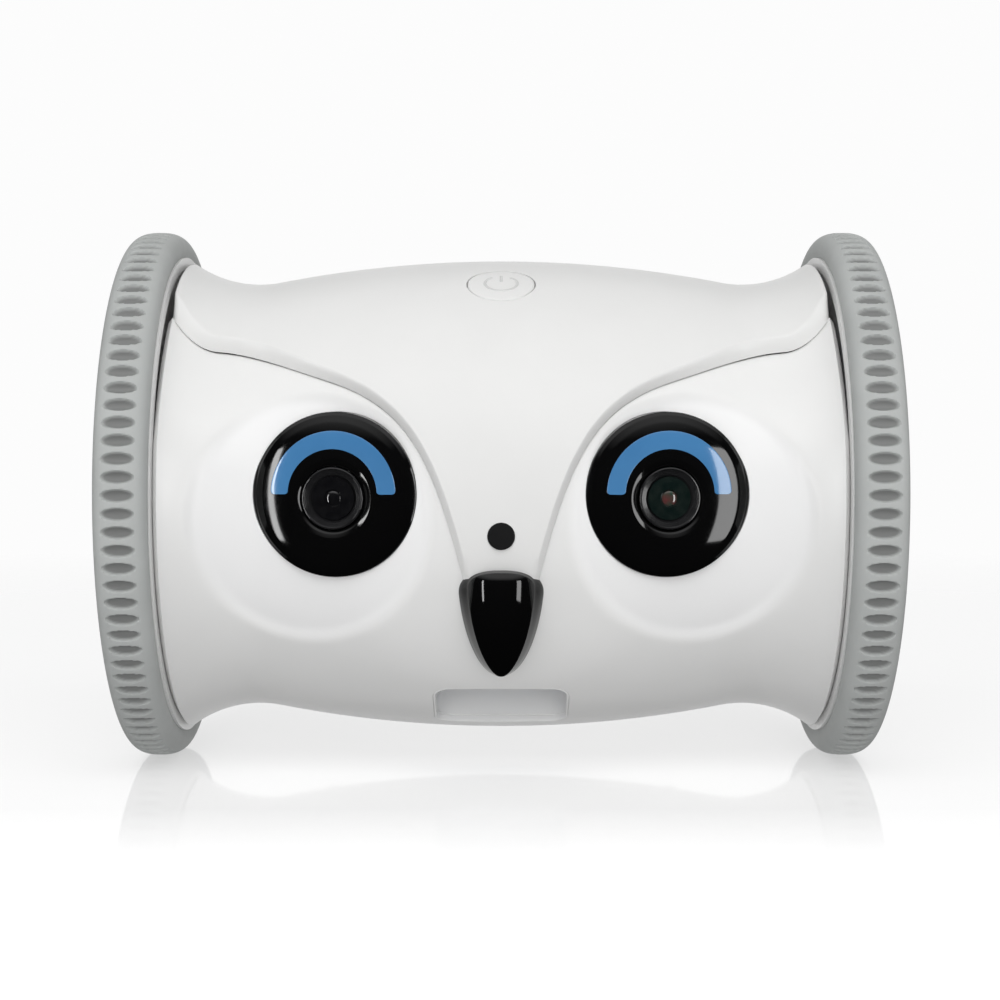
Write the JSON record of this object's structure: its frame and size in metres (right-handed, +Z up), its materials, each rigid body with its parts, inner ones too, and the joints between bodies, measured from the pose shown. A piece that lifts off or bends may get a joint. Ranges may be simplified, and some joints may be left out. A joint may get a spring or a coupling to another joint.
{
  "type": "two-wheeled camera robot",
  "caption": "Two-wheeled owl-faced camera robot: barrel casing between tyred wheels, geared drive, treat drum with outlet, rear hatch and power button.",
  "frame": {"origin": "on the floor under the middle of the axle", "axes": "+X along the axle to the right as seen from the front, +Y towards the back, +Z up; the face looks along -Y"},
  "size_m": [0.208, 0.15, 0.15],
  "materials": {
    "white_plastic": "fine satin moulding",
    "black_gloss": "polished",
    "dark_plastic": "matt",
    "grey_plastic": "matt",
    "steel": "machined",
    "blue_diffuser": "translucent, softly lit",
    "blue_plastic": "matt",
    "lens_glass": "coated",
    "tyre_rubber": "matt, dimpled",
    "circuit_board": "solder mask",
    "battery_sleeve": "shrink sleeve"
  },
  "bodies": {
    "casing": {"face_shell": "white_plastic", "brow_cover": "white_plastic", "rear_shell": "white_plastic", "hatch_pin": "steel", "left_end_plate": "dark_plastic", "right_end_plate": "dark_plastic", "chassis_frame": "dark_plastic", "left_eye_cover": "black_gloss", "right_eye_cover": "black_gloss", "left_light_arc": "blue_diffuser", "right_light_arc": "blue_diffuser", "camera_barrel": "dark_plastic", "camera_lens": "lens_glass", "camera_board": "circuit_board", "night_lens_ring": "dark_plastic", "night_lens": "lens_glass", "beak": "black_gloss", "sensor_window": "black_gloss", "power_switch_board": "circuit_board", "treat_hopper": "grey_plastic", "dispenser_housing": "grey_plastic", "treat_chute": "dark_plastic", "dispenser_motor": "steel", "main_board": "circuit_board", "board_chips": "dark_plastic", "speaker": "dark_plastic", "charging_port": "steel", "battery_cells": "battery_sleeve", "battery_holder": "dark_plastic", "ballast_weights": "steel", "left_motor": "steel", "right_motor": "steel", "axle_bearings": "steel", "casing_screws": "steel", "end_plate_screws": "steel"},
    "left_wheel": {"left_tyre": "tyre_rubber", "left_rim": "white_plastic", "left_wheel_cover": "white_plastic", "left_hub_cap": "grey_plastic", "left_axle": "steel", "left_wheel_gear": "grey_plastic", "left_wheel_screws": "steel"},
    "right_wheel": {"right_tyre": "tyre_rubber", "right_rim": "white_plastic", "right_wheel_cover": "white_plastic", "right_hub_cap": "grey_plastic", "right_axle": "steel", "right_wheel_gear": "grey_plastic", "right_wheel_screws": "steel"},
    "left_drive_pinion": {"left_pinion": "steel"},
    "right_drive_pinion": {"right_pinion": "steel"},
    "treat_drum": {"treat_rotor": "blue_plastic", "rotor_gear": "steel"},
    "feed_pinion": {"dispenser_pinion": "steel"},
    "button": {"power_button": "white_plastic"},
    "hatch": {"hatch_lid": "white_plastic"}
  },
  "joints": [
    {"name": "left_wheel_spin", "type": "hinge", "parent": "casing", "child": "left_wheel", "pos_m": [0, 0, 0.075], "axis": [1, 0, 0], "continuous": true},
    {"name": "right_wheel_spin", "type": "hinge", "parent": "casing", "child": "right_wheel", "pos_m": [0, 0, 0.075], "axis": [1, 0, 0], "continuous": true},
    {"name": "left_pinion_spin", "type": "hinge", "parent": "casing", "child": "left_drive_pinion", "pos_m": [0, 0, 0.047], "axis": [1, 0, 0], "continuous": true},
    {"name": "right_pinion_spin", "type": "hinge", "parent": "casing", "child": "right_drive_pinion", "pos_m": [0, 0, 0.047], "axis": [1, 0, 0], "continuous": true},
    {"name": "treat_drum_spin", "type": "hinge", "parent": "casing", "child": "treat_drum", "pos_m": [0, -0.01, 0.057], "axis": [1, 0, 0], "continuous": true},
    {"name": "feed_pinion_spin", "type": "hinge", "parent": "casing", "child": "feed_pinion", "pos_m": [0, -0.02, 0.07432], "axis": [1, 0, 0], "continuous": true},
    {"name": "power_press", "type": "slide", "parent": "casing", "child": "button", "axis": [0, 0.4848, -0.8746], "range_m": [0, 0.0008], "stiffness_N_per_m": 900, "springref_m": -0.0006},
    {"name": "hatch_hinge", "type": "hinge", "parent": "casing", "child": "hatch", "pos_m": [0, 0.05437, 0.1145], "axis": [-1, 0, 0], "range_deg": [0, 110]}
  ],
  "couplings": [
    {"joint": "left_pinion_spin", "follows": "left_wheel_spin", "ratio": -3},
    {"joint": "right_pinion_spin", "follows": "right_wheel_spin", "ratio": -3},
    {"joint": "feed_pinion_spin", "follows": "treat_drum_spin", "ratio": -2.3333}
  ]
}
